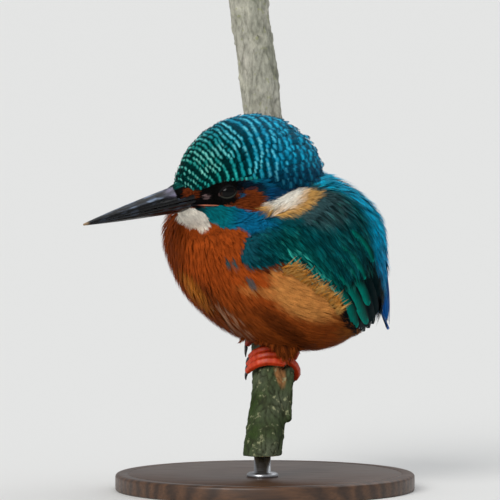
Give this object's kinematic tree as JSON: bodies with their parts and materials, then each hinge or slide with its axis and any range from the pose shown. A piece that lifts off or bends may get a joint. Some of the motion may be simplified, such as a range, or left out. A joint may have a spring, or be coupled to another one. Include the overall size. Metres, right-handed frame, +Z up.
{
  "type": "common kingfisher perched on a cut stem",
  "caption": "Life-size still model of a fluffed common kingfisher with its head turned, perched on a curved cut stem over a round display stand.",
  "frame": {"origin": "middle of the underside of the stand's round base", "axes": "+Z up; the bird's trunk faces -Y, so its left side is +X; the head is turned to its left"},
  "size_m": [0.0988, 0.0987, 0.15],
  "materials": {
    "head_feathers": "barred blue-green crown feathers with a soft silky sheen",
    "neck_feathers": "matte white, buff and rufous neck feathers",
    "body_feathers": "matte loose rufous breast and belly feathers",
    "wing_feathers": "teal wing feathers with a silky sheen and dark edges",
    "tail_feathers": "deep blue tail feathers with dark shafts",
    "eye": "wet, very dark brown",
    "bill_horn": "satin black horn with a pale tip",
    "foot_skin": "scaly coral-red skin, slightly moist",
    "claw_horn": "satin dark horn",
    "bark": "rough grey-green bark with lichen and moss",
    "stand_wood": "dark oiled hardwood, satin",
    "stand_steel": "brushed steel rod"
  },
  "bodies": {
    "root": {"head": "head_feathers", "neck": "neck_feathers", "trunk": "body_feathers", "wing_left": "wing_feathers", "wing_right": "wing_feathers", "tail": "tail_feathers", "eye_left": "eye", "eye_right": "eye", "bill_upper": "bill_horn", "bill_lower": "bill_horn", "foot_left": "foot_skin", "foot_right": "foot_skin", "leg_left": "foot_skin", "leg_right": "foot_skin", "perch_branch": "bark", "stand_base": "stand_wood", "stand_rod": "stand_steel", "claw_left_front_1": "claw_horn", "claw_left_front_2": "claw_horn", "claw_left_front_3": "claw_horn", "claw_left_back": "claw_horn", "claw_right_front_1": "claw_horn", "claw_right_front_2": "claw_horn", "claw_right_front_3": "claw_horn", "claw_right_back": "claw_horn"}
  },
  "joints": []
}
